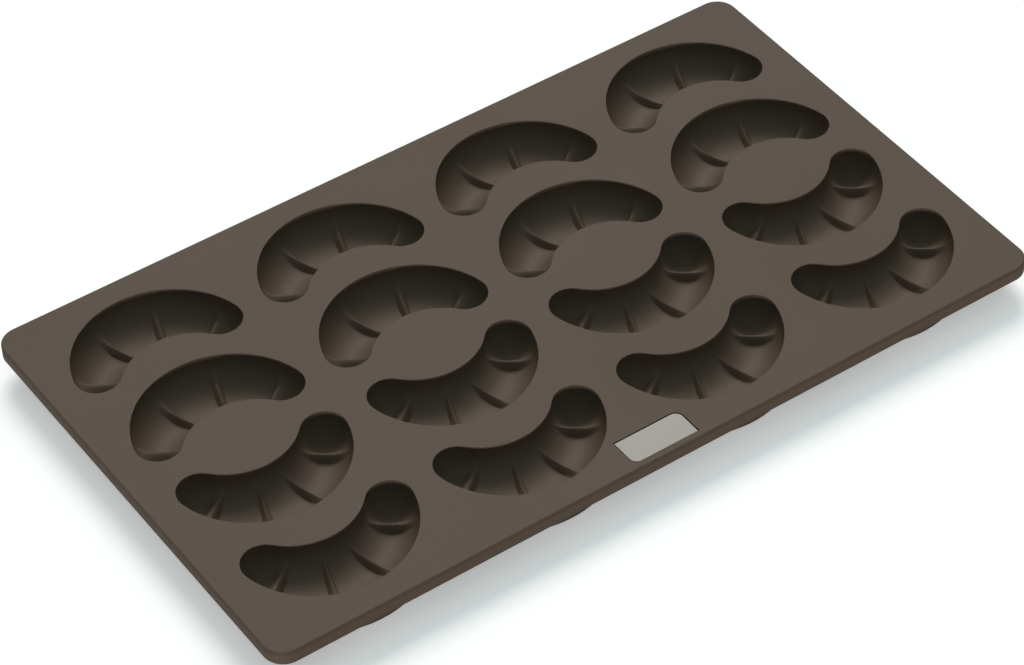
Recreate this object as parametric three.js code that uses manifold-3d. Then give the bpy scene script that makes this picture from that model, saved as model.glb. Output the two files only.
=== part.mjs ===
// Crescent cookie mold: a moulded silicone tray with sixteen ribbed crescent cups and an inlaid label plate.
// Millimetres, +Z up. The origin is on the standing surface, under the middle of the tray.
// The tray's long edge lies along X, and its front edge faces -Y.

import * as THREE from "three";
import { mergeVertices } from "three/addons/utils/BufferGeometryUtils.js";
import Module from "manifold-3d";

// Tray: overall size, plate and skirt
const TRAY_LENGTH = 300;
const TRAY_WIDTH = 175;
const TRAY_HEIGHT = 14;
const CORNER_RADIUS = 7.5;
const PLATE_THICKNESS = 2.2;
const SKIRT_DEPTH = 5.4;
const SKIRT_THICKNESS = 2.5;
const TOP_EDGE_RADIUS = 0.6;
const GROOVE_DEPTH = 0.3;
const GROOVE_WIDTH = 1.0;
const LOWER_EDGE_RADIUS = 0.5;

// Cups: layout of the pattern
const COLUMNS = 4;
const ROWS_PER_HALF = 2;
const COLUMN_PITCH = 72;
const ROW_PITCH = 38.4;
const FRONT_MARGIN = 9.5;

// Cup opening: two offset circles with round horns between them
const OUTER_RADIUS = 31.5;
const INNER_RADIUS = 23;
const MIDDLE_WIDTH = 24;
const HORN_RADIUS = 7.8;

// Cup hollow, wall and foot
const CUP_DEPTH = 10.7;
const CUP_WALL = 4;
const FOOT_EDGE = 1;

// Ribs across each hollow
const RIBS_PER_CUP = 4;
const RIB_HEIGHT = 2.4;
const RIB_BASE = 4.2;
const RIB_ROOT = 0.8;
const RIB_SPREAD = THREE.MathUtils.degToRad(48);
const RIB_REACH_SHARE = 0.88;

// Label plate let into the front margin
const LABEL_LENGTH = 25.2;
const LABEL_WIDTH = 11.2;
const LABEL_THICKNESS = 0.8;
const LABEL_RECESS = 0.2;
const LABEL_CORNER = 3;
const LABEL_CLEARANCE = 0.3;
const LABEL_SHIFT = -1.2;
const LABEL_MARGIN = 2.6;

// Cuts run this far past the faces that they open
const OVERRUN = 1;

// Facets
const CORNER_STEPS = 7;
const MAIN_STEPS = 12;
const HORN_STEPS = 4;
const SECTION_STEPS = 4;
const OUTLINE_STEPS = 4;
const RIB_STEPS = 4;

// Finishes
const SILICONE_COLOUR = 0x5d544c;
const LABEL_COLOUR = 0x9b9893;

const wasm = await Module();
wasm.setup();

// Solid helpers

function toSolid(geometry) {
  const bare = geometry.clone();
  bare.deleteAttribute("normal");
  bare.deleteAttribute("uv");
  const merged = mergeVertices(bare);
  const mesh = new wasm.Mesh({
    numProp: 3,
    vertProperties: new Float32Array(merged.attributes.position.array),
    triVerts: new Uint32Array(merged.index.array),
  });
  return new wasm.Manifold(mesh);
}

function toGeometry(solid) {
  const mesh = solid.getMesh();
  const geometry = new THREE.BufferGeometry();
  geometry.setAttribute("position", new THREE.BufferAttribute(new Float32Array(mesh.vertProperties), 3));
  geometry.setIndex(new THREE.BufferAttribute(new Uint32Array(mesh.triVerts), 1));
  geometry.computeVertexNormals();
  return geometry;
}

function surface(points, faces) {
  const geometry = new THREE.BufferGeometry();
  geometry.setAttribute("position", new THREE.Float32BufferAttribute(points.flatMap((p) => p.toArray()), 3));
  geometry.setIndex(faces);
  return geometry;
}

// A loft through rings of equal point count, closed at both ends by flat caps
function loft(rings) {
  const count = rings[0].length;
  const faces = [];
  for (let ring = 0; ring + 1 < rings.length; ring += 1) {
    for (let i = 0; i < count; i += 1) {
      const a = ring * count + i;
      const b = ring * count + ((i + 1) % count);
      faces.push(a, b, b + count, a, b + count, a + count);
    }
  }
  const last = (rings.length - 1) * count;
  const flat = rings[0].map((p) => new THREE.Vector2(p.x, p.y));
  for (const [i, j, k] of THREE.ShapeUtils.triangulateShape(flat, [])) {
    faces.push(i, k, j);
    faces.push(last + i, last + j, last + k);
  }
  return surface(rings.flat(), faces);
}

// Rounded rectangle as one ring of points, counter-clockwise from the front right corner
function roundedRing(length, width, radius, z) {
  const ring = [];
  for (let corner = 0; corner < 4; corner += 1) {
    const middle = (corner - 0.5) * (Math.PI / 2);
    const signX = Math.sign(Math.cos(middle));
    const signY = Math.sign(Math.sin(middle));
    const x = signX * (length / 2 - radius);
    const y = signY * (width / 2 - radius);
    for (let step = 0; step <= CORNER_STEPS; step += 1) {
      const angle = middle + (step / CORNER_STEPS - 0.5) * (Math.PI / 2);
      ring.push(new THREE.Vector3(x + radius * Math.cos(angle), y + radius * Math.sin(angle), z));
    }
  }
  return ring;
}

function trayRing(inset, z) {
  return roundedRing(TRAY_LENGTH - 2 * inset, TRAY_WIDTH - 2 * inset, CORNER_RADIUS - inset, z);
}

// Crescent geometry: the outer circle's centre is the local origin, and the belly points to -Y

const CENTRE_OFFSET = MIDDLE_WIDTH - OUTER_RADIUS + INNER_RADIUS;
const OUTER_CENTRE = new THREE.Vector2(0, 0);
const INNER_CENTRE = new THREE.Vector2(0, CENTRE_OFFSET);

function hornCentre() {
  const toOuter = OUTER_RADIUS - HORN_RADIUS;
  const toInner = INNER_RADIUS + HORN_RADIUS;
  const y = (toOuter ** 2 + CENTRE_OFFSET ** 2 - toInner ** 2) / (2 * CENTRE_OFFSET);
  return new THREE.Vector2(Math.sqrt(toOuter ** 2 - y ** 2), y);
}

const HORN = hornCentre();
const HORN_ANGLE = Math.atan2(HORN.x, -HORN.y);

// The widest disc inside the crescent whose centre lies in one direction from the outer centre,
// and the chord through that centre, square to the crescent's middle line
function inscribedDisc(angle) {
  const outward = new THREE.Vector2(Math.sin(angle), -Math.cos(angle));
  const along = outward.dot(INNER_CENTRE);
  const top = OUTER_RADIUS ** 2 - 2 * along * OUTER_RADIUS + CENTRE_OFFSET ** 2 - INNER_RADIUS ** 2;
  const radius = top / (2 * (OUTER_RADIUS + INNER_RADIUS - along));
  const centre = outward.clone().multiplyScalar(OUTER_RADIUS - radius);
  const inward = INNER_CENTRE.clone().sub(centre).normalize();
  const across = outward.clone().sub(inward).normalize();
  const outerEnd = centre.clone().addScaledVector(across, leavingDistance(centre, across));
  const toInner = enteringDistance(centre.clone().sub(INNER_CENTRE), across.clone().negate());
  const innerEnd = centre.clone().addScaledVector(across, -toInner);
  return { centre, radius, outward, inward, across, outerEnd, innerEnd };
}

// Distance from a point inside the outer circle to that circle
function leavingDistance(point, direction) {
  const along = point.dot(direction);
  return Math.sqrt(along ** 2 - point.lengthSq() + OUTER_RADIUS ** 2) - along;
}

// Distance from a point outside the inner circle to that circle
function enteringDistance(point, direction) {
  const along = point.dot(direction);
  return -along - Math.sqrt(along ** 2 - point.lengthSq() + INNER_RADIUS ** 2);
}

function depthAt(share) {
  return CUP_DEPTH * Math.sqrt(Math.max(0, 1 - share ** 2));
}

// One section across the hollow, from the inner edge (share -1) to the outer edge (share 1)
function sectionPoint(disc, share) {
  const end = share < 0 ? disc.innerEnd : disc.outerEnd;
  const plan = disc.centre.clone().lerp(end, Math.abs(share));
  return new THREE.Vector3(plan.x, plan.y, -depthAt(share));
}

// The hollow as a closed cutter: trough surface, round horn ends and a cap above the rim
function hollowGeometry() {
  const points = [];
  const faces = [];
  const sectionCount = 2 * SECTION_STEPS + 1;
  for (let station = 0; station <= MAIN_STEPS; station += 1) {
    const disc = inscribedDisc(HORN_ANGLE * ((2 * station) / MAIN_STEPS - 1));
    for (let k = -SECTION_STEPS; k <= SECTION_STEPS; k += 1) {
      points.push(sectionPoint(disc, Math.sin((k / SECTION_STEPS) * (Math.PI / 2))));
    }
  }
  for (let station = 0; station < MAIN_STEPS; station += 1) {
    for (let k = 0; k + 1 < sectionCount; k += 1) {
      const a = station * sectionCount + k;
      const b = a + sectionCount;
      faces.push(a, b + 1, a + 1, a, b, b + 1);
    }
  }
  const leftRim = hornCap(points, faces, -1, 0);
  const rightRim = hornCap(points, faces, 1, MAIN_STEPS * sectionCount);
  const outerRim = [];
  const innerRim = [];
  for (let station = 0; station <= MAIN_STEPS; station += 1) {
    outerRim.push(station * sectionCount + sectionCount - 1);
    innerRim.push(station * sectionCount);
  }
  const rim = [...outerRim, ...rightRim, ...innerRim.reverse(), ...leftRim.reverse()];
  closeRim(points, faces, rim);
  return withoutSlivers(surface(points, faces));
}

// The round end of one horn, swept about the horn's centre from the outer edge to the inner edge
function hornCap(points, faces, sign, first) {
  const disc = inscribedDisc(sign * HORN_ANGLE);
  const from = Math.atan2(disc.outward.y, sign * disc.outward.x);
  const to = Math.atan2(disc.inward.y, sign * disc.inward.x);
  const middle = first + SECTION_STEPS;
  const spokes = [Array.from({ length: SECTION_STEPS + 1 }, (_, k) => middle + k)];
  for (let step = 0; step <= HORN_STEPS; step += 1) {
    const angle = from + ((to - from) * step) / HORN_STEPS;
    const spoke = [middle];
    for (let k = 1; k <= SECTION_STEPS; k += 1) {
      const share = Math.sin((k / SECTION_STEPS) * (Math.PI / 2));
      const x = disc.centre.x + sign * share * disc.radius * Math.cos(angle);
      const y = disc.centre.y + share * disc.radius * Math.sin(angle);
      spoke.push(points.push(new THREE.Vector3(x, y, -depthAt(share))) - 1);
    }
    spokes.push(spoke);
  }
  spokes.push(Array.from({ length: SECTION_STEPS + 1 }, (_, k) => middle - k));
  for (let i = 0; i + 1 < spokes.length; i += 1) {
    for (let k = 0; k < SECTION_STEPS; k += 1) {
      const quad = [spokes[i][k], spokes[i][k + 1], spokes[i + 1][k + 1], spokes[i + 1][k]];
      if (sign < 0) quad.reverse();
      faces.push(quad[0], quad[2], quad[1]);
      faces.push(quad[0], quad[3], quad[2]);
    }
  }
  return spokes.slice(1, -1).map((spoke) => spoke[SECTION_STEPS]);
}

// Wall above the rim and the flat cap that closes the cutter
function closeRim(points, faces, rim) {
  const raised = rim.map((i) => points.push(points[i].clone().setZ(OVERRUN)) - 1);
  rim.forEach((low, i) => {
    const next = (i + 1) % rim.length;
    faces.push(low, rim[next], raised[next], low, raised[next], raised[i]);
  });
  const flat = rim.map((i) => new THREE.Vector2(points[i].x, points[i].y));
  for (const [i, j, k] of THREE.ShapeUtils.triangulateShape(flat, [])) {
    faces.push(raised[i], raised[j], raised[k]);
  }
}

function withoutSlivers(geometry) {
  const index = geometry.index.array;
  const kept = [];
  for (let i = 0; i < index.length; i += 3) {
    const [a, b, c] = [index[i], index[i + 1], index[i + 2]];
    if (a !== b && b !== c && c !== a) kept.push(a, b, c);
  }
  geometry.setIndex(kept);
  return geometry;
}

// One rib: a ridge across the trough, tallest in the middle and dying out up both walls
function ribGeometry(angle) {
  const disc = inscribedDisc(angle);
  const along = new THREE.Vector2(-disc.across.y, disc.across.x);
  const points = [];
  const faces = [];
  for (let step = 0; step <= RIB_STEPS; step += 1) {
    const share = (2 * step) / RIB_STEPS - 1;
    const floor = sectionPoint(disc, share * RIB_REACH_SHARE);
    const swell = 1 - share ** 2;
    const height = RIB_HEIGHT * swell;
    const half = swell > 0 ? (RIB_BASE / 2) * Math.sqrt(swell) * (1 + RIB_ROOT / height) : 0;
    const crest = floor.clone().setZ(floor.z + height);
    const left = floor.clone().setZ(floor.z - RIB_ROOT);
    const right = left.clone();
    left.x -= along.x * half;
    left.y -= along.y * half;
    right.x += along.x * half;
    right.y += along.y * half;
    if (step === 0 || step === RIB_STEPS) {
      points.push(left);
    } else {
      points.push(left, right, crest);
    }
  }
  const ring = (step) => {
    if (step === 0) return [0, 0, 0];
    if (step === RIB_STEPS) return Array(3).fill(points.length - 1);
    const first = 1 + 3 * (step - 1);
    return [first, first + 1, first + 2];
  };
  for (let step = 0; step < RIB_STEPS; step += 1) {
    const near = ring(step);
    const far = ring(step + 1);
    for (let side = 0; side < 3; side += 1) {
      const next = (side + 1) % 3;
      faces.push(near[side], near[next], far[next], near[side], far[next], far[side]);
    }
  }
  return withoutSlivers(surface(points, faces));
}

// Outline of the crescent grown by an offset, as four tangent arcs
function crescentShape(offset) {
  const outer = OUTER_RADIUS + offset;
  const inner = INNER_RADIUS - offset;
  const horn = HORN_RADIUS + offset;
  const side = Math.atan2(HORN.y, HORN.x);
  const contact = Math.atan2(INNER_CENTRE.y - HORN.y, INNER_CENTRE.x - HORN.x);
  const hollowSide = Math.atan2(HORN.y - INNER_CENTRE.y, HORN.x);
  const shape = new THREE.Shape();
  shape.absarc(OUTER_CENTRE.x, OUTER_CENTRE.y, outer, -Math.PI - side, side, false);
  shape.absarc(HORN.x, HORN.y, horn, side, contact, false);
  shape.absarc(INNER_CENTRE.x, INNER_CENTRE.y, inner, hollowSide, -Math.PI - hollowSide, true);
  shape.absarc(-HORN.x, HORN.y, horn, Math.PI - contact, Math.PI - side, false);
  return shape;
}

// The outside of one cup, from its flat foot up into the plate
function cupGeometry() {
  const top = TRAY_HEIGHT - PLATE_THICKNESS / 2;
  const geometry = new THREE.ExtrudeGeometry(crescentShape(CUP_WALL - FOOT_EDGE), {
    depth: top - FOOT_EDGE,
    bevelEnabled: true,
    bevelSegments: 1,
    bevelSize: FOOT_EDGE,
    bevelThickness: FOOT_EDGE,
    curveSegments: OUTLINE_STEPS,
  });
  geometry.translate(0, 0, FOOT_EDGE);
  return geometry;
}

// Places of the cups: two rows with the belly to the front, and their mirror rows behind

function cupPlaces() {
  const places = [];
  const frontRow = -TRAY_WIDTH / 2 + FRONT_MARGIN + OUTER_RADIUS;
  for (let half = 0; half < 2; half += 1) {
    for (let row = 0; row < ROWS_PER_HALF; row += 1) {
      for (let column = 0; column < COLUMNS; column += 1) {
        const x = (column - (COLUMNS - 1) / 2) * COLUMN_PITCH;
        const y = frontRow + row * ROW_PITCH;
        places.push(half === 0 ? { x, y, turn: 0 } : { x: -x, y: -y, turn: 180 });
      }
    }
  }
  return places;
}

// Tray body: plate and skirt with a rounded upper edge and a fine groove below it
function trayShell() {
  const top = TRAY_HEIGHT;
  const bottom = TRAY_HEIGHT - SKIRT_DEPTH;
  const grooveTop = top - TOP_EDGE_RADIUS;
  const soft = TOP_EDGE_RADIUS * (1 - Math.SQRT1_2);
  const shell = loft([
    trayRing(LOWER_EDGE_RADIUS, bottom),
    trayRing(0, bottom + LOWER_EDGE_RADIUS),
    trayRing(0, grooveTop - GROOVE_WIDTH),
    trayRing(GROOVE_DEPTH, grooveTop - GROOVE_WIDTH / 2),
    trayRing(0, grooveTop),
    trayRing(soft, top - soft),
    trayRing(TOP_EDGE_RADIUS, top),
  ]);
  const under = loft([
    trayRing(SKIRT_THICKNESS, bottom - OVERRUN),
    trayRing(SKIRT_THICKNESS, top - PLATE_THICKNESS),
  ]);
  return toSolid(shell).subtract(toSolid(under));
}

// Label outline: two opposite corners are round and the other two are square
function labelShape(clearance) {
  const x = LABEL_LENGTH / 2 + clearance;
  const y = LABEL_WIDTH / 2 + clearance;
  const radius = LABEL_CORNER + clearance;
  const shape = new THREE.Shape();
  shape.moveTo(x, -y);
  shape.lineTo(x, y - radius);
  shape.absarc(x - radius, y - radius, radius, 0, Math.PI / 2, false);
  shape.lineTo(-x, y);
  shape.lineTo(-x, -y + radius);
  shape.absarc(-x + radius, -y + radius, radius, Math.PI, (3 * Math.PI) / 2, false);
  shape.closePath();
  return shape;
}

const LABEL_FLOOR = TRAY_HEIGHT - LABEL_RECESS - LABEL_THICKNESS;
const LABEL_Y = -TRAY_WIDTH / 2 + LABEL_MARGIN + LABEL_WIDTH / 2;

function labelGeometry(clearance, height) {
  return new THREE.ExtrudeGeometry(labelShape(clearance), {
    depth: height,
    bevelEnabled: false,
    curveSegments: OUTLINE_STEPS,
  });
}

function trayBody() {
  const cup = toSolid(cupGeometry());
  const hollow = toSolid(hollowGeometry()).translate(0, 0, TRAY_HEIGHT);
  const ribs = Array.from({ length: RIBS_PER_CUP }, (_, i) => {
    const angle = (i - (RIBS_PER_CUP - 1) / 2) * RIB_SPREAD;
    return toSolid(ribGeometry(angle)).translate(0, 0, TRAY_HEIGHT);
  });
  const cutter = ribs.reduce((left, rib) => left.subtract(rib), hollow);
  let body = trayShell();
  for (const { x, y, turn } of cupPlaces()) {
    body = body.add(cup.rotate(0, 0, turn).translate(x, y, 0));
  }
  for (const { x, y, turn } of cupPlaces()) {
    body = body.subtract(cutter.rotate(0, 0, turn).translate(x, y, 0));
  }
  const pocket = toSolid(labelGeometry(LABEL_CLEARANCE, LABEL_THICKNESS + LABEL_RECESS + OVERRUN));
  return body.subtract(pocket.translate(LABEL_SHIFT, LABEL_Y, LABEL_FLOOR));
}

// The moulding is given in segments that meet face to face, cut midway between the cups
const COLUMN_NAMES = ["far_left", "left", "right", "far_right"];
const HALF_NAMES = ["front", "back"];

function segmentCell(column, half) {
  const cuts = COLUMN_NAMES.map((_, i) => (i - COLUMNS / 2) * COLUMN_PITCH);
  const endX = TRAY_LENGTH / 2 + OVERRUN;
  const left = column === 0 ? -endX : cuts[column];
  const right = column === COLUMNS - 1 ? endX : cuts[column + 1];
  const depth = TRAY_WIDTH / 2 + OVERRUN;
  const cell = new THREE.BoxGeometry(right - left, depth, TRAY_HEIGHT + 2 * OVERRUN);
  const y = (half === 0 ? -depth : depth) / 2;
  return cell.translate((left + right) / 2, y, TRAY_HEIGHT / 2);
}

function makeSegments() {
  const material = new THREE.MeshStandardMaterial({ color: SILICONE_COLOUR, roughness: 0.6, metalness: 0 });
  const body = trayBody();
  const segments = [];
  HALF_NAMES.forEach((halfName, half) => {
    COLUMN_NAMES.forEach((columnName, column) => {
      const solid = body.intersect(toSolid(segmentCell(column, half)));
      const mesh = new THREE.Mesh(toGeometry(solid), material);
      mesh.name = `tray_${halfName}_${columnName}`;
      segments.push(mesh);
    });
  });
  return segments;
}

function makeLabel() {
  const material = new THREE.MeshStandardMaterial({ color: LABEL_COLOUR, roughness: 0.5, metalness: 0 });
  const mesh = new THREE.Mesh(labelGeometry(0, LABEL_THICKNESS), material);
  mesh.name = "label_plate";
  mesh.position.set(LABEL_SHIFT, LABEL_Y, LABEL_FLOOR);
  return mesh;
}

const mold = new THREE.Group();
mold.add(...makeSegments(), makeLabel());

export default mold;
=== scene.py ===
"""Crescent cookie mold

A moulded silicone tray with sixteen ribbed crescent cups and a bare label plate
"""

import math

import bmesh
import bpy
from mathutils import Matrix, Vector


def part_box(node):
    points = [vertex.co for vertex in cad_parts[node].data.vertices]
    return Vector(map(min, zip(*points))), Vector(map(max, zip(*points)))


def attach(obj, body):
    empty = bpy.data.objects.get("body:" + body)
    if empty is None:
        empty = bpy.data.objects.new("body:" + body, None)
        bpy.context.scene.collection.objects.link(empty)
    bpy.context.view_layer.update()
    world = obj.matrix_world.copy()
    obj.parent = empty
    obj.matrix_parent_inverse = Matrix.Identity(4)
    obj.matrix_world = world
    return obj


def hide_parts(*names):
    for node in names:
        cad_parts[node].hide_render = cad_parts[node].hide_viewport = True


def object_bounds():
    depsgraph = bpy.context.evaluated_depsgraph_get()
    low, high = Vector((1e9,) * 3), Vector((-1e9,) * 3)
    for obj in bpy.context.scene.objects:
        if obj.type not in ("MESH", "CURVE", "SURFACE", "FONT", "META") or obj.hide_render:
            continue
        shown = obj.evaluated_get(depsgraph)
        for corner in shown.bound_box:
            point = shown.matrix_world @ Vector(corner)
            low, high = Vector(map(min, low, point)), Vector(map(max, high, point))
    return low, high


bl_info = {
    "name": "Crescent Cookie Mold",
    "version": (1, 0, 0),
    "blender": (4, 5, 0),
    "location": "View3D > Sidebar > Mold",
    "description": "A flexible baking tray with ribbed crescent cups and a bare label plate",
    "category": "Add Mesh",
}

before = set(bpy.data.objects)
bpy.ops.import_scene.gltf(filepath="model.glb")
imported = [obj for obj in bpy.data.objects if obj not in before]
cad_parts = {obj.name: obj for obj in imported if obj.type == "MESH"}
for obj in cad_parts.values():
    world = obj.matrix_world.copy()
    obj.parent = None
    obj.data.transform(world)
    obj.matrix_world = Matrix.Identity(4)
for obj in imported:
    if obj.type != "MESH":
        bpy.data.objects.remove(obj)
CAD_LOW, CAD_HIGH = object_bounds()
LABEL_NODE = "label_plate"
TRAY_NODES = sorted(set(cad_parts) - {LABEL_NODE})
LABEL_LOW, LABEL_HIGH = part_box(LABEL_NODE)

MM = 0.001
NEAR = 0.01 * MM
QUARTER_TURN = 0.5 * math.pi
HALF_TURN = math.pi
CRISP_ANGLE = math.radians(50)

# Steps of the curved surfaces
CORNER_STEPS = 14
EDGE_STEPS = 4
LABEL_EDGE_STEPS = 2
LIP_STEPS = 4
TROUGH_STEPS = 13
HORN_STEPS = 10
RIB_STATIONS = 7
PLAIN_PITCH = 1.7 * MM
FOOT_STEPS = 3
FOOT_SHARES = (0.55, 0.0)

# Patterns of the materials: scale in cells for each metre, detail and strength
CLOUD_SCALE, CLOUD_DETAIL = 14, 3
CLOUD_TINT = (1.06, 1.02, 0.97)
CLOUD_ROUGHNESS = 0.04
SILICONE_GRAIN = {"scale": 2600, "detail": 2}
SILICONE_BUMP = 0.12
LABEL_GRAIN = {"scale": 1800, "detail": 3}
LABEL_BUMP = 0.15
LABEL_SHADE = 0.94
GRAIN_DEPTH = 0.02 * MM

# Places of the colour sockets on a Mix node
MIX_FIRST, MIX_SECOND, MIX_RESULT = 6, 7, 2

WHITE = (1, 1, 1)
FLOOR_SIZE = 8
FLOOR_GAP = 0.05 * MM
FLOOR_ROUGHNESS = 0.9
NEAREST_SEEN = 0.01


# Kinds of settings


def number(name, description, default, **kind):
    about = {"name": name, "description": description, "default": default}
    return bpy.props.FloatProperty(**about, **kind)


def size(name, description, default):
    return number(name, description, default, min=0, unit="LENGTH")


def share(name, description, default):
    return number(name, description, default, subtype="FACTOR")


def arc(name, description, degrees):
    return number(name, description, math.radians(degrees), subtype="ANGLE")


def whole(name, description, default, least):
    return bpy.props.IntProperty(name=name, description=description, default=default, min=least)


def triple(name, description, default, **kind):
    about = {"name": name, "description": description, "default": default}
    return bpy.props.FloatVectorProperty(**about, **kind)


def colour(name, description, default):
    return triple(name, description, default, size=3, min=0, max=1, subtype="COLOR")


class TraySizes(bpy.types.PropertyGroup):
    """Plate and turned-down skirt"""

    length: size("Length", "Long side of the plate", CAD_HIGH.x - CAD_LOW.x)
    width: size("Width", "Short side of the plate", CAD_HIGH.y - CAD_LOW.y)
    height: size("Height", "From the cups' feet to the top of the plate", CAD_HIGH.z - CAD_LOW.z)
    plate: size("Plate", "Thickness of the plate between the cups", 2.2 * MM)
    corner: size("Corner", "Radius of the plate's corners", 7.5 * MM)
    skirt_depth: size("Skirt depth", "Height of the turned-down skirt", 5.4 * MM)
    skirt: size("Skirt", "Thickness of the skirt", 2.5 * MM)
    edge: size("Top edge", "Radius of the plate's upper edge", 0.6 * MM)
    lower_edge: size("Lower edge", "Radius of the skirt's lower edges", 0.45 * MM)
    groove: size("Groove", "Depth of the fine groove below the upper edge", 0.45 * MM)
    groove_width: size("Groove width", "Height of the fine groove", 0.9 * MM)


class CupSizes(bpy.types.PropertyGroup):
    """One crescent cup and the pattern of cups"""

    columns: whole("Columns", "Cups along the tray", 4, 1)
    rows: whole("Rows", "Rows on each side of the tray's middle", 2, 1)
    column_pitch: size("Column pitch", "Distance between columns", 72 * MM)
    row_pitch: size("Row pitch", "Distance between the rows of one half", 38.4 * MM)
    margin: size("Margin", "From the plate's edge to the nearest cup", 9.5 * MM)
    outer: size("Outer radius", "Radius of the crescent's outer curve", 31.5 * MM)
    inner: size("Inner radius", "Radius of the crescent's inner curve", 23 * MM)
    middle: size("Middle width", "Width of the crescent at its middle", 24 * MM)
    horn: size("Horn radius", "Radius of the round horns", 7.8 * MM)
    depth: size("Depth", "Depth of the trough along its middle", 10.7 * MM)
    lip: size("Lip", "Radius of the opening's edge", 0.2 * MM)
    wall: size("Wall", "Thickness of the cup's wall at the opening", 4 * MM)
    foot_edge: size("Foot edge", "Radius round the cup's flat foot", 1 * MM)


class RibSizes(bpy.types.PropertyGroup):
    """Ribs across each trough"""

    count: whole("Count", "Ribs in each cup", 4, 0)
    height: size("Height", "Height of a middle rib above the trough", 2.4 * MM)
    end_height: size("End height", "Height of the two ribs next to the horns", 2.7 * MM)
    steep: size("Steep side", "Width of a rib's steep sides", 1.6 * MM)
    gentle: size("Gentle side", "Width of the sides that slope down into the horns", 3.4 * MM)
    crest: share("Crest", "Roundness of a rib's crest, as a share of each side's width", 0.2)
    reach: share("Reach", "How far up the walls a rib runs, as a share of the half width", 0.88)
    spread: arc("Spread", "Angle from one rib to the next", 46)


class LabelSizes(bpy.types.PropertyGroup):
    """Bare label plate and its pocket"""

    length: size("Length", "Long side of the plate", LABEL_HIGH.x - LABEL_LOW.x)
    width: size("Width", "Short side of the plate", LABEL_HIGH.y - LABEL_LOW.y)
    thickness: size("Thickness", "Thickness of the plate", LABEL_HIGH.z - LABEL_LOW.z)
    corner: size("Corner", "Radius of the two round corners", 3 * MM)
    clearance: size("Clearance", "Gap between the plate and its pocket", 0.3 * MM)
    edge: size("Edge", "Radius of the plate's upper edge", 0.15 * MM)


class Finishes(bpy.types.PropertyGroup):
    """Colours and surface of the materials"""

    silicone: colour("Silicone", "Colour of the moulding", (0.1115, 0.0765, 0.0565))
    silicone_roughness: share("Silicone roughness", "Roughness of the moulding", 0.6)
    silicone_shine: share("Silicone shine", "Strength of the moulding's highlights", 0.22)
    label: colour("Label", "Colour of the label plate", (0.312, 0.275, 0.243))
    label_roughness: share("Label roughness", "Roughness of the label plate", 0.42)
    floor: colour("Floor", "Colour of the floor", (0.9, 0.9, 0.9))


class StageSizes(bpy.types.PropertyGroup):
    """Camera, lamps and floor"""

    camera: triple(
        "Camera", "Place of the camera", (-0.50844, -0.78067, 0.89436), subtype="TRANSLATION"
    )
    aim: triple(
        "Aim",
        "Turn of the camera",
        tuple(math.radians(a) for a in (46.046, 0.3397, -36.1436)),
        subtype="EULER",
    )
    lens: number("Lens", "Focal length in millimetres", 135.47)
    shift: number("Shift", "Sideways shift of the view", -0.13735)
    lift: number("Lift", "Upward shift of the view", 0.00127)
    key: number("Key light", "Strength of the key light", 1.86)
    key_from: triple("Key from", "Direction that the key light comes from", (0.35, 0.61, 0.71))
    key_colour: colour("Key colour", "Colour of the key light", (1.0, 0.98, 0.94))
    key_spread: arc("Key spread", "Softness of the key light", 32)
    top: number("Top light", "Strength of the wide light overhead", 0.9)
    top_from: triple("Top from", "Direction that the wide light comes from", (0.09, 0.0, 1.0))
    top_colour: colour("Top colour", "Colour of the wide light", (0.78, 1.0, 1.0))
    top_spread: arc("Top spread", "Softness of the wide light", 120)
    low: number("Low light", "Strength of the low light on the rims", 1.3)
    low_from: triple("Low from", "Direction that the low light comes from", (-0.71, -0.7, 0.018))
    low_spread: arc("Low spread", "Softness of the low light", 2)
    fill: number("Fill light", "Strength of the room's light", 0.02)
    glow: number("Floor glow", "How much paler the camera sees the floor than it is lit", 0.4)


def props(name):
    """The settings of one group"""
    return getattr(bpy.context.scene, name)


# Mesh helpers


def start_clean():
    """Leaves nothing selected, so that an operator acts on the new piece alone"""
    bpy.ops.object.select_all(action="DESELECT")


def edit(piece):
    """Enters edit mode on one piece"""
    bpy.context.view_layer.objects.active = piece
    bpy.ops.object.mode_set(mode="EDIT")
    return bmesh.from_edit_mesh(piece.data)


def leave():
    """Goes back to object mode"""
    bpy.ops.object.mode_set(mode="OBJECT")


def pick(piece, kind, test):
    """Selects the vertices, edges or faces that pass a test, and nothing else"""
    bpy.ops.mesh.select_mode(type={"verts": "VERT", "edges": "EDGE", "faces": "FACE"}[kind])
    bpy.ops.mesh.select_all(action="DESELECT")
    shape = bmesh.from_edit_mesh(piece.data)
    for part in getattr(shape, kind):
        part.select = bool(test(part))
    shape.select_flush_mode()
    bmesh.update_edit_mesh(piece.data)


def at_level(level):
    """A test for edges or faces that lie flat at a height"""
    return lambda part: all(abs(v.co.z - level) < NEAR for v in part.verts)


def open_at_level(level):
    """A test for the open edges at a height"""
    return lambda edge: edge.is_boundary and at_level(level)(edge)


# Crescent: the outer circle's centre is the local origin and the belly points to -Y


def centre_offset(cup):
    """How far behind the outer curve's centre the inner curve's centre lies"""
    return cup.middle - cup.outer + cup.inner


def touching_disc(cup, angle):
    """The widest disc inside the crescent, centred in one direction from the outer centre"""
    outward = Vector((math.sin(angle), -math.cos(angle)))
    inner_centre = Vector((0, centre_offset(cup)))
    along = outward.dot(inner_centre)
    reach = cup.outer**2 - 2 * along * cup.outer + inner_centre.y**2 - cup.inner**2
    radius = reach / (2 * (cup.outer + cup.inner - along))
    centre = outward * (cup.outer - radius)
    inward = (inner_centre - centre).normalized()
    return centre, radius, outward, inward


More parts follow.
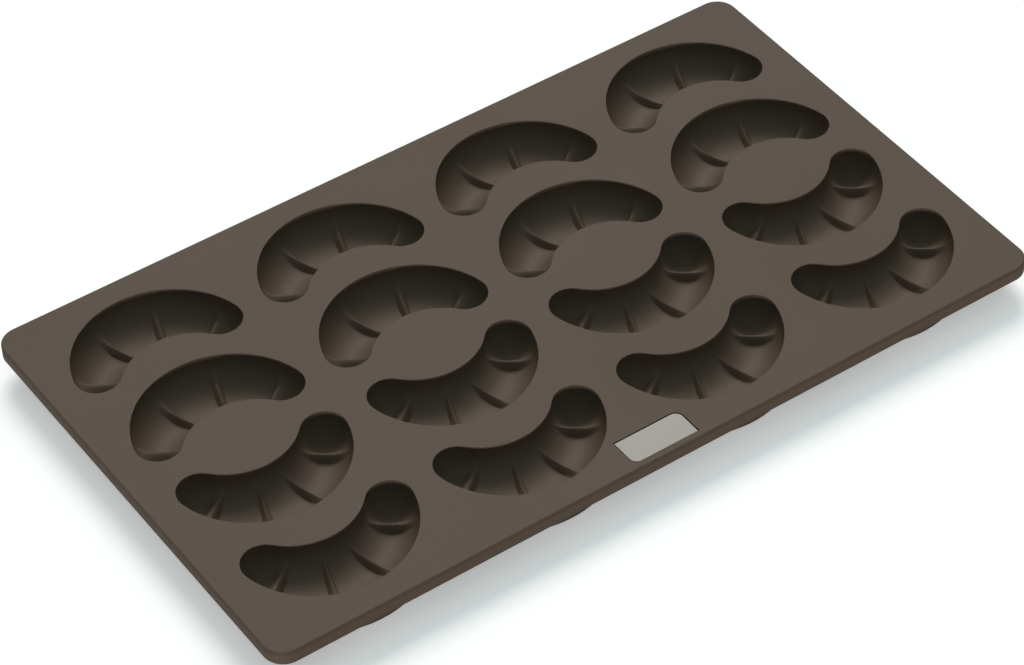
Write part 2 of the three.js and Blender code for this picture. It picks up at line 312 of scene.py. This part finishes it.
def chord(cup, angle):
    """The section square to the middle line: its centre, direction and two half widths"""
    centre, _, outward, inward = touching_disc(cup, angle)
    across = (outward - inward).normalized()
    along = centre.dot(across)
    to_outer = math.sqrt(along**2 - centre.length_squared + cup.outer**2) - along
    from_inner = centre - Vector((0, centre_offset(cup)))
    along = -from_inner.dot(across)
    to_inner = -along - math.sqrt(along**2 - from_inner.length_squared + cup.inner**2)
    return centre, across, to_outer, to_inner


def horn_angle(cup):
    """Direction of a horn's centre from the outer curve's centre"""
    to_outer = cup.outer - cup.horn
    to_inner = cup.inner + cup.horn
    offset = centre_offset(cup)
    y = (to_outer**2 + offset**2 - to_inner**2) / (2 * offset)
    return math.atan2(math.sqrt(to_outer**2 - y**2), -y)


def rib_forms(rib):
    """Direction and height of each rib, and the widths of its sides before and after it"""
    forms = []
    for i in range(rib.count):
        first, last = i == 0, i == rib.count - 1
        height = rib.end_height if first or last else rib.height
        before = rib.gentle if first else rib.steep
        after = rib.gentle if last else rib.steep
        forms.append(((i - (rib.count - 1) / 2) * rib.spread, height, before, after))
    return forms


def station_angles(cup, rib):
    """Directions of the sections: close together across each rib and wider apart between"""
    end = horn_angle(cup)
    marks = {-end, end}
    for angle, _, before, after in rib_forms(rib):
        radius = touching_disc(cup, angle)[0].length
        for i in range(RIB_STATIONS):
            along = i / (RIB_STATIONS - 1)
            for run in (after * along, -before * along):
                marks.add(max(-end, min(end, angle + run / radius)))
    ordered = sorted(marks)
    angles = [ordered[0]]
    for last, following in zip(ordered, ordered[1:]):
        run = (following - last) * touching_disc(cup, last)[0].length
        steps = max(1, round(run / PLAIN_PITCH))
        angles += [last + (following - last) * i / steps for i in range(1, steps + 1)]
    return angles


def spokes(cup, rib):
    """Lines from the crescent's middle line to its outline, once round

    Each has its start, direction, length, and its section's angle, which is None round a horn.
    """
    angles = station_angles(cup, rib)
    chords = [chord(cup, a) for a in angles]
    outer = [(start, across, length, a) for (start, across, length, _), a in zip(chords, angles)]
    inner = [(start, -across, length, a) for (start, across, _, length), a in zip(chords, angles)]
    right = horn_spokes(touching_disc(cup, angles[-1]), 1)
    left = horn_spokes(touching_disc(cup, angles[0]), -1)
    return outer + right + inner[::-1] + left[::-1]


def horn_spokes(disc, side):
    """Lines from a horn's centre to its round outline, from the outer curve to the inner"""
    centre, radius, outward, inward = disc
    start = math.atan2(outward.y, side * outward.x)
    end = math.atan2(inward.y, side * inward.x)
    lines = []
    for i in range(HORN_STEPS + 1):
        turn = start + (end - start) * i / HORN_STEPS
        lines.append((centre, Vector((side * math.cos(turn), math.sin(turn))), radius, None))
    return lines


def rib_lift(cup, rib, spoke, along):
    """How far the ribs raise the trough at a share along one spoke"""
    angle = spoke[-1]
    if angle is None or along >= rib.reach:
        return 0
    swell = 1 - (along / rib.reach) ** 2
    crest = rib.crest * math.sqrt(swell)
    side = math.hypot(1, crest)
    lift = 0
    for rib_angle, height, before, after in rib_forms(rib):
        run = (angle - rib_angle) * touching_disc(cup, rib_angle)[0].length
        apart = run / after if run > 0 else -run / before
        if apart < 1:
            slope = (side - math.hypot(apart, crest)) / (side - crest)
            lift += height * swell * slope
    return lift


def outline_loop(lines, out, level, along=1):
    """The outline moved outwards, or a share of the way to it from the middle line"""
    loop = []
    for start, direction, length, _ in lines:
        loop.append((start + direction * (length + out) * along, level))
    return loop


def trough_loops(cup, rib):
    """Loops of the trough, from the lip to the middle line"""
    lines = spokes(cup, rib)
    trough = []
    for i in range(LIP_STEPS + 1):
        turn = QUARTER_TURN * i / LIP_STEPS
        out = cup.lip * (1 - math.sin(turn))
        level = -cup.lip * (1 - math.cos(turn))
        trough.append(outline_loop(lines, out, level))
    for i in range(1, TROUGH_STEPS + 1):
        turn = QUARTER_TURN * i / TROUGH_STEPS
        along = math.cos(turn) if i < TROUGH_STEPS else 0
        fall = cup.lip + (cup.depth - cup.lip) * math.sin(turn)
        loop = []
        for spoke in lines:
            start, direction, length, _ = spoke
            level = rib_lift(cup, rib, spoke, along) - fall
            loop.append((start + direction * length * along, level))
        trough.append(loop)
    return trough


def outside_loops(cup, rib, tray):
    """Loops of the outside, from the plate's underside to the middle of the flat foot"""
    lines = spokes(cup, rib)
    outside = [outline_loop(lines, cup.wall, -tray.plate)]
    for i in range(FOOT_STEPS + 1):
        turn = QUARTER_TURN * i / FOOT_STEPS
        out = cup.wall - cup.foot_edge * (1 - math.cos(turn))
        level = -tray.height + cup.foot_edge * (1 - math.sin(turn))
        outside.append(outline_loop(lines, out, level))
    out = cup.wall - cup.foot_edge
    for along in FOOT_SHARES:
        outside.append(outline_loop(lines, out, -tray.height, along))
    return outside


def lay(piece, loop):
    """Moves the selected loop of vertices to its places"""
    shape = bmesh.from_edit_mesh(piece.data)
    station = shape.verts.layers.int["station"]
    for v in shape.verts:
        if v.select:
            place, level = loop[v[station]]
            v.co = (place.x, place.y, level)
    bmesh.update_edit_mesh(piece.data)


def draw_surface(name, loops):
    """A ring of vertices, extruded from loop to loop and closed along the middle line"""
    start_clean()
    bpy.ops.mesh.primitive_circle_add(vertices=len(loops[0]), radius=1)
    piece = bpy.context.object
    piece.name = name
    shape = edit(piece)
    station = shape.verts.layers.int.new("station")
    shape.verts.ensure_lookup_table()
    for i, v in enumerate(shape.verts):
        v[station] = i
    bmesh.update_edit_mesh(piece.data)
    bpy.ops.mesh.select_all(action="SELECT")
    lay(piece, loops[0])
    for loop in loops[1:]:
        bpy.ops.mesh.extrude_edges_move()
        lay(piece, loop)
    bpy.ops.mesh.select_all(action="SELECT")
    bpy.ops.mesh.remove_doubles(threshold=NEAR)
    leave()
    return piece


def joined(name, pieces):
    """One piece made of several"""
    start_clean()
    for piece in pieces:
        piece.select_set(True)
    bpy.context.view_layer.objects.active = pieces[0]
    bpy.ops.object.join()
    pieces[0].name = name
    pieces[0].data.name = name
    return pieces[0]


def cup_places(tray, cup):
    """Places of the cups: rows with the belly to the front, and their turned copies behind"""
    places = []
    front = -tray.width / 2 + cup.margin + cup.outer
    for turn in (0, HALF_TURN):
        for row in range(cup.rows):
            for column in range(cup.columns):
                x = (column - (cup.columns - 1) / 2) * cup.column_pitch
                y = front + row * cup.row_pitch
                place = Matrix.Translation((x, y, 0))
                places.append(Matrix.Rotation(turn, 4, "Z") @ place)
    return places


def copied(model, places):
    """One copy of a piece at each place, each with its own mesh"""
    copies = []
    for place in places:
        piece = model.copy()
        piece.data = model.data.copy()
        piece.data.transform(place)
        bpy.context.collection.objects.link(piece)
        copies.append(piece)
    bpy.data.objects.remove(model)
    return copies


# Pieces


def round_off(radius, steps, affect="EDGES"):
    """Rounds the selected edges or vertices"""
    bpy.ops.mesh.bevel(offset=radius, offset_type="OFFSET", segments=steps, affect=affect)


def extrude_up(height):
    """Extrudes the selected faces straight up, or down where the height is below zero"""
    bpy.ops.mesh.extrude_region_move(TRANSFORM_OT_translate={"value": (0, 0, height)})


def add_shell(tray):
    """Plate and skirt from a block, open where the cups go"""
    start_clean()
    top = tray.height
    low = top - tray.skirt_depth
    bpy.ops.mesh.primitive_cube_add(size=1, location=(0, 0, (top + low) / 2))
    piece = bpy.context.object
    piece.scale = (tray.length, tray.width, tray.skirt_depth)
    bpy.ops.object.transform_apply(location=True, rotation=True, scale=True)
    edit(piece)
    pick(piece, "edges", lambda e: abs(e.verts[0].co.z - e.verts[1].co.z) > NEAR)
    round_off(tray.corner, CORNER_STEPS)
    pick(piece, "edges", at_level(top))
    round_off(tray.edge, EDGE_STEPS)
    groove_top = top - tray.edge
    groove_low = groove_top - tray.groove_width
    middle = (groove_top + groove_low) / 2
    for level in (groove_low, middle):
        bpy.ops.mesh.select_all(action="SELECT")
        bpy.ops.mesh.bisect(plane_co=(0, 0, level), plane_no=(0, 0, 1))
    pick(piece, "verts", lambda v: abs(v.co.z - middle) < NEAR)
    bpy.ops.transform.shrink_fatten(value=-tray.groove, use_even_offset=True)
    pick(piece, "faces", at_level(low))
    bpy.ops.mesh.inset(thickness=tray.skirt, use_even_offset=True)
    extrude_up(tray.skirt_depth - tray.plate)
    pick(piece, "edges", at_level(low))
    round_off(tray.lower_edge, EDGE_STEPS)
    for level in (top, top - tray.plate):
        pick(piece, "faces", at_level(level))
        bpy.ops.mesh.delete(type="ONLY_FACE")
    leave()
    return piece


def label_outline(label, gap, level):
    """A plate with two opposite corners round, as one flat face"""
    start_clean()
    middle = (LABEL_LOW + LABEL_HIGH) / 2
    bpy.ops.mesh.primitive_plane_add(size=1, location=(middle.x, middle.y, level))
    piece = bpy.context.object
    piece.scale = (label.length + 2 * gap, label.width + 2 * gap, 1)
    bpy.ops.object.transform_apply(location=True, rotation=True, scale=True)
    edit(piece)
    pick(piece, "verts", lambda v: (v.co.x - middle.x) * (v.co.y - middle.y) > 0)
    round_off(label.corner + gap, CORNER_STEPS, affect="VERTICES")
    leave()
    return piece


def add_pocket(label, tray):
    """Pocket for the label: an outline at the plate's top, walls and a floor"""
    piece = label_outline(label, label.clearance, tray.height)
    edit(piece)
    bpy.ops.mesh.select_mode(type="FACE")
    bpy.ops.mesh.select_all(action="SELECT")
    extrude_up(LABEL_LOW.z - tray.height)
    pick(piece, "faces", at_level(tray.height))
    bpy.ops.mesh.delete(type="ONLY_FACE")
    leave()
    return piece


def build_tray():
    """The moulding: shell, pocket and cups, joined by the plate's two sides"""
    tray, cup, rib, label = props("tray"), props("cup"), props("rib"), props("label")
    lifted = Matrix.Translation((0, 0, tray.height))
    places = [place @ lifted for place in cup_places(tray, cup)]
    troughs = copied(draw_surface("trough", trough_loops(cup, rib)), places)
    outsides = copied(draw_surface("outside", outside_loops(cup, rib, tray)), places)
    piece = joined("tray", [add_shell(tray), add_pocket(label, tray)] + troughs + outsides)
    edit(piece)
    for level in (tray.height, tray.height - tray.plate):
        pick(piece, "edges", open_at_level(level))
        bpy.ops.mesh.fill(use_beauty=True)
    bpy.ops.mesh.select_all(action="SELECT")
    bpy.ops.mesh.normals_make_consistent(inside=False)
    leave()
    return piece


def build_label():
    """The label plate, with its upper edge softened"""
    label = props("label")
    piece = label_outline(label, 0, LABEL_LOW.z)
    edit(piece)
    bpy.ops.mesh.select_mode(type="FACE")
    bpy.ops.mesh.select_all(action="SELECT")
    extrude_up(label.thickness)
    pick(piece, "edges", at_level(LABEL_HIGH.z))
    round_off(label.edge, LABEL_EDGE_STEPS)
    bpy.ops.mesh.select_all(action="SELECT")
    bpy.ops.mesh.normals_make_consistent(inside=False)
    leave()
    piece.name = "label"
    piece.data.name = "label"
    return piece


def smooth(piece):
    """Smooth shading with crisp edges, in which the flat faces keep their own direction"""
    start_clean()
    piece.select_set(True)
    bpy.context.view_layer.objects.active = piece
    bpy.ops.object.shade_smooth_by_angle(angle=CRISP_ANGLE)
    weighting = piece.modifiers.new("Even light", "WEIGHTED_NORMAL")
    weighting.keep_sharp = True
    bpy.ops.object.modifier_apply(modifier=weighting.name)


def seat(piece, material, nodes):
    """Gives a finished piece its material and ties it to the frame"""
    piece.data.materials.clear()
    piece.data.materials.append(material)
    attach(piece, "root")
    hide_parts(*nodes)


# Materials


def node_material(name):
    """A new material, with its node tree and its shader"""
    material = bpy.data.materials.new(name)
    material.use_nodes = True
    tree = material.node_tree
    return material, tree, tree.nodes["Principled BSDF"]


def add_node(tree, kind, inputs=None, **settings):
    """Adds a node, with a value or a link for each of its inputs"""
    node = tree.nodes.new(kind)
    for key, value in settings.items():
        setattr(node, key, value)
    for key, value in (inputs or {}).items():
        if isinstance(value, bpy.types.NodeSocket):
            tree.links.new(value, node.inputs[key])
        else:
            node.inputs[key].default_value = value
    return node


def add_noise(tree, scale, detail):
    """A noise pattern that stays with the piece"""
    place = add_node(tree, "ShaderNodeTexCoord").outputs["Object"]
    settings = {"Vector": place, "Scale": scale, "Detail": detail}
    return add_node(tree, "ShaderNodeTexNoise", settings).outputs["Fac"]


def tint(tree, shader, pattern, first, second):
    """Mixes the surface's colour from two by a pattern"""
    mix = add_node(tree, "ShaderNodeMix", {"Factor": pattern}, data_type="RGBA")
    mix.inputs[MIX_FIRST].default_value = opaque(first)
    mix.inputs[MIX_SECOND].default_value = opaque(second)
    tree.links.new(mix.outputs[MIX_RESULT], shader.inputs["Base Color"])


def raise_grain(tree, shader, pattern, strength):
    """Raises the surface a little by a fine pattern"""
    settings = {"Height": pattern, "Strength": strength, "Distance": GRAIN_DEPTH}
    bump = add_node(tree, "ShaderNodeBump", settings)
    tree.links.new(bump.outputs["Normal"], shader.inputs["Normal"])


def opaque(rgb):
    """A colour with the full opacity that a colour socket takes"""
    return tuple(rgb) + (1,)


def silicone_material(finish):
    """Satin silicone: faint clouds in its colour and sheen, and a fine grain"""
    material, tree, shader = node_material("Moulded silicone")
    cloud = add_noise(tree, CLOUD_SCALE, CLOUD_DETAIL)
    warm = [min(1, level * factor) for level, factor in zip(finish.silicone, CLOUD_TINT)]
    tint(tree, shader, cloud, finish.silicone, warm)
    settings = {
        "Value": cloud,
        "To Min": finish.silicone_roughness - CLOUD_ROUGHNESS,
        "To Max": finish.silicone_roughness + CLOUD_ROUGHNESS,
    }
    rough = add_node(tree, "ShaderNodeMapRange", settings)
    tree.links.new(rough.outputs["Result"], shader.inputs["Roughness"])
    shader.inputs["Specular IOR Level"].default_value = finish.silicone_shine
    raise_grain(tree, shader, add_noise(tree, **SILICONE_GRAIN), SILICONE_BUMP)
    return material


def label_material(finish):
    """Satin plate with a fine grain in its colour and surface"""
    material, tree, shader = node_material("Satin label plate")
    grain = add_noise(tree, **LABEL_GRAIN)
    tint(tree, shader, grain, [level * LABEL_SHADE for level in finish.label], finish.label)
    shader.inputs["Roughness"].default_value = finish.label_roughness
    raise_grain(tree, shader, grain, LABEL_BUMP)
    return material


def floor_material(finish):
    """A pale floor that the camera sees as white, with the object's soft shadow on it"""
    material, tree, shader = node_material("Studio floor")
    shader.inputs["Base Color"].default_value = opaque(finish.floor)
    shader.inputs["Roughness"].default_value = FLOOR_ROUGHNESS
    shader.inputs["Specular IOR Level"].default_value = 0
    shader.inputs["Emission Color"].default_value = opaque(WHITE)
    seen = add_node(tree, "ShaderNodeLightPath").outputs["Is Camera Ray"]
    factors = {0: seen, 1: props("stage").glow}
    glow = add_node(tree, "ShaderNodeMath", factors, operation="MULTIPLY")
    tree.links.new(glow.outputs["Value"], shader.inputs["Emission Strength"])
    return material


# Operators


class MOLD_OT_tray(bpy.types.Operator):
    """Model the silicone moulding: plate, skirt, cups and ribs"""

    bl_idname = "mold.tray"
    bl_label = "Silicone tray"

    def execute(self, context):
        piece = build_tray()
        smooth(piece)
        seat(piece, silicone_material(props("finish")), TRAY_NODES)
        return {"FINISHED"}


class MOLD_OT_label(bpy.types.Operator):
    """Model the bare label plate"""

    bl_idname = "mold.label"
    bl_label = "Label plate"

    def execute(self, context):
        piece = build_label()
        smooth(piece)
        seat(piece, label_material(props("finish")), [LABEL_NODE])
        return {"FINISHED"}


class MOLD_OT_stage(bpy.types.Operator):
    """Add the floor, the lamps and the camera"""

    bl_idname = "mold.stage"
    bl_label = "Stage"

    def execute(self, context):
        stage = props("stage")
        start_clean()
        bpy.ops.mesh.primitive_plane_add(size=FLOOR_SIZE, location=(0, 0, -FLOOR_GAP))
        floor = bpy.context.object
        floor.name = "floor"
        floor.data.materials.append(floor_material(props("finish")))
        self.add_camera(context, stage)
        self.add_lamp(stage.key_from, stage.key, stage.key_spread, stage.key_colour)
        self.add_lamp(stage.top_from, stage.top, stage.top_spread, stage.top_colour)
        self.add_lamp(stage.low_from, stage.low, stage.low_spread, WHITE)
        self.light_room(context, stage)
        context.scene.view_settings.view_transform = "Standard"
        return {"FINISHED"}

    def add_camera(self, context, stage):
        """The camera at the photo's place, aim and framing"""
        bpy.ops.object.camera_add(location=stage.camera, rotation=stage.aim)
        camera = bpy.context.object
        camera.data.lens = stage.lens
        camera.data.shift_x = stage.shift
        camera.data.shift_y = stage.lift
        camera.data.clip_start = NEAREST_SEEN
        context.scene.camera = camera

    def add_lamp(self, direction, strength, spread, tone):
        """A far lamp that shines from one direction, softer the wider its spread"""
        bpy.ops.object.light_add(type="SUN", location=Vector(direction))
        lamp = bpy.context.object
        lamp.data.energy = strength
        lamp.data.color = tone
        lamp.data.angle = spread
        lamp.rotation_euler = Vector(direction).to_track_quat("Z", "Y").to_euler()

    def light_room(self, context, stage):
        """A white room for the camera, which lights the object only faintly"""
        world = bpy.data.worlds.new("Studio")
        context.scene.world = world
        world.use_nodes = True
        tree = world.node_tree
        room = tree.nodes["Background"]
        room.inputs["Color"].default_value = opaque(WHITE)
        seen = add_node(tree, "ShaderNodeLightPath").outputs["Is Camera Ray"]
        settings = {"Value": seen, "To Min": stage.fill, "To Max": 1}
        level = add_node(tree, "ShaderNodeMapRange", settings)
        tree.links.new(level.outputs["Result"], room.inputs["Strength"])


class MOLD_PT_panel(bpy.types.Panel):
    """Lists the mold's pieces"""

    bl_label = "Crescent cookie mold"
    bl_space_type = "VIEW_3D"
    bl_region_type = "UI"
    bl_category = "Mold"

    def draw(self, context):
        for operator in OPERATORS:
            self.layout.operator(operator.bl_idname)


GROUPS = {
    "tray": TraySizes,
    "cup": CupSizes,
    "rib": RibSizes,
    "label": LabelSizes,
    "finish": Finishes,
    "stage": StageSizes,
}
OPERATORS = (MOLD_OT_tray, MOLD_OT_label, MOLD_OT_stage)


def register():
    for group in GROUPS.values():
        bpy.utils.register_class(group)
    for operator in OPERATORS:
        bpy.utils.register_class(operator)
    bpy.utils.register_class(MOLD_PT_panel)
    for name, group in GROUPS.items():
        setattr(bpy.types.Scene, name, bpy.props.PointerProperty(type=group))


def unregister():
    for name in GROUPS:
        delattr(bpy.types.Scene, name)
    bpy.utils.unregister_class(MOLD_PT_panel)
    for operator in reversed(OPERATORS):
        bpy.utils.unregister_class(operator)
    for group in reversed(list(GROUPS.values())):
        bpy.utils.unregister_class(group)


def main():
    register()
    bpy.ops.mold.tray()
    bpy.ops.mold.label()
    bpy.ops.mold.stage()


if __name__ == "__main__":
    main()
